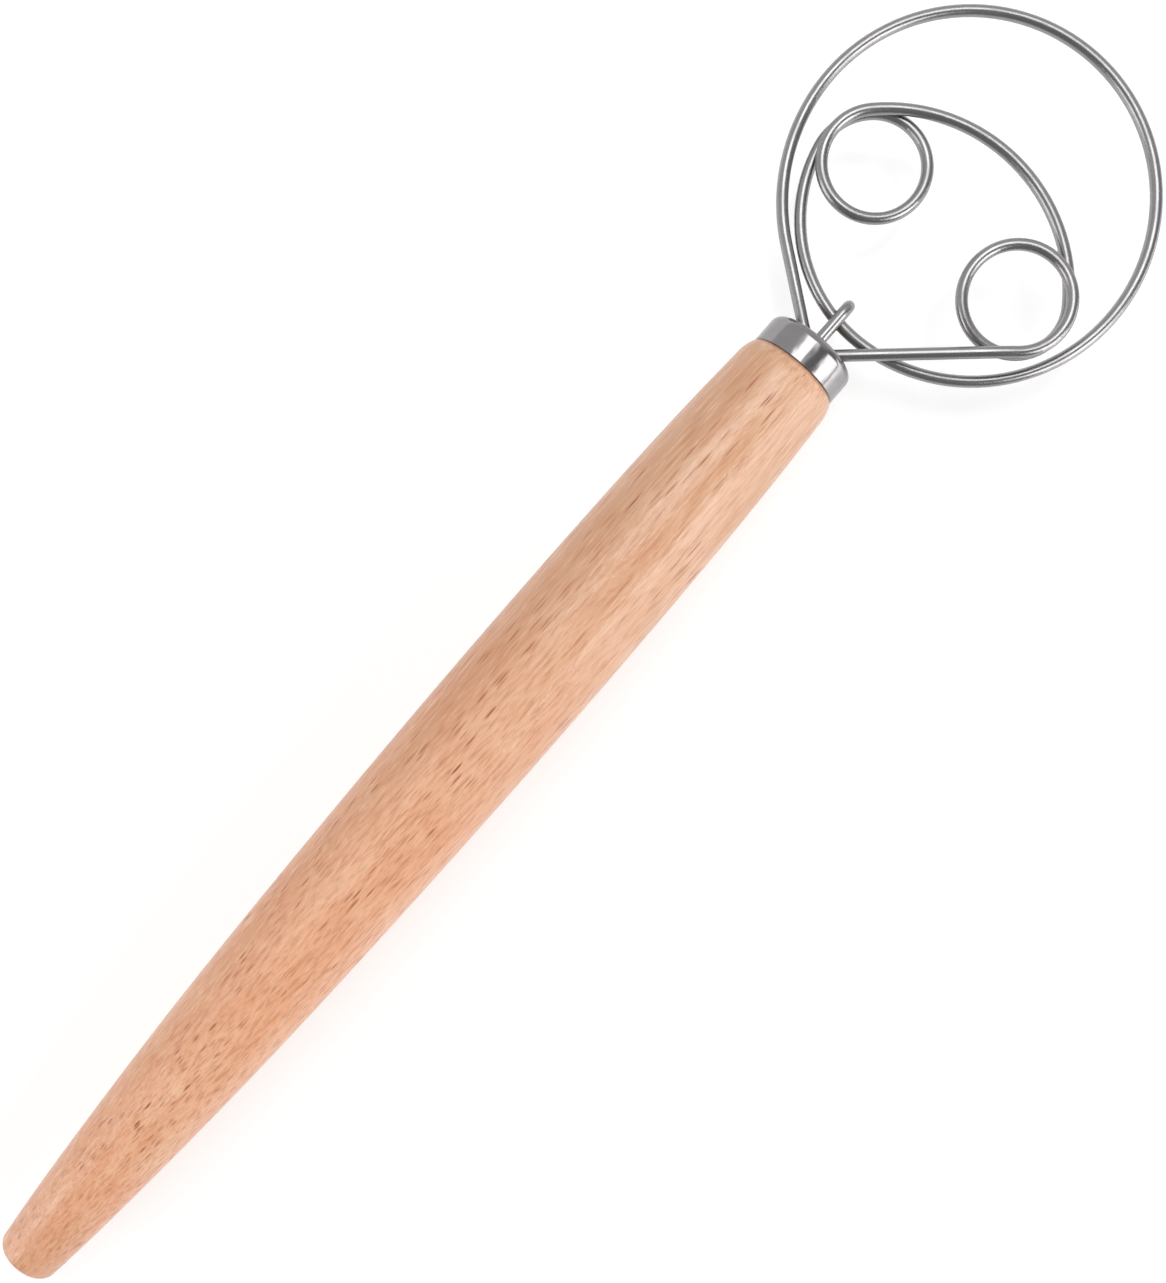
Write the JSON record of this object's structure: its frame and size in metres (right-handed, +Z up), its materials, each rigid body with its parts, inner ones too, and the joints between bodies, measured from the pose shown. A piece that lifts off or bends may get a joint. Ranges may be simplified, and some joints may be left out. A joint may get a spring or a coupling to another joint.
{
  "type": "dough whisk",
  "caption": "Danish dough whisk: barrel-shaped turned wooden handle, steel ferrule and a head of steel wire bent into a ring with eyes and an arc inside it, held by a small hook.",
  "frame": {"origin": "on the surface it lies on, under the middle of the whole whisk's length and width", "axes": "+X along the handle towards the wire head, +Z up and square to the flat head, +Y to the left of the head seen from above"},
  "size_m": [0.3408, 0.0814, 0.0267],
  "materials": {
    "wood": "smooth turned hardwood, thin clear lacquer",
    "ferrule_steel": "polished stainless steel",
    "wire_steel": "polished round stainless wire",
    "resin": "cured adhesive"
  },
  "bodies": {
    "root": {"handle": "wood", "ferrule": "ferrule_steel", "whisk_wire": "wire_steel", "hook_wire": "wire_steel", "bonding_resin": "resin"}
  },
  "joints": []
}
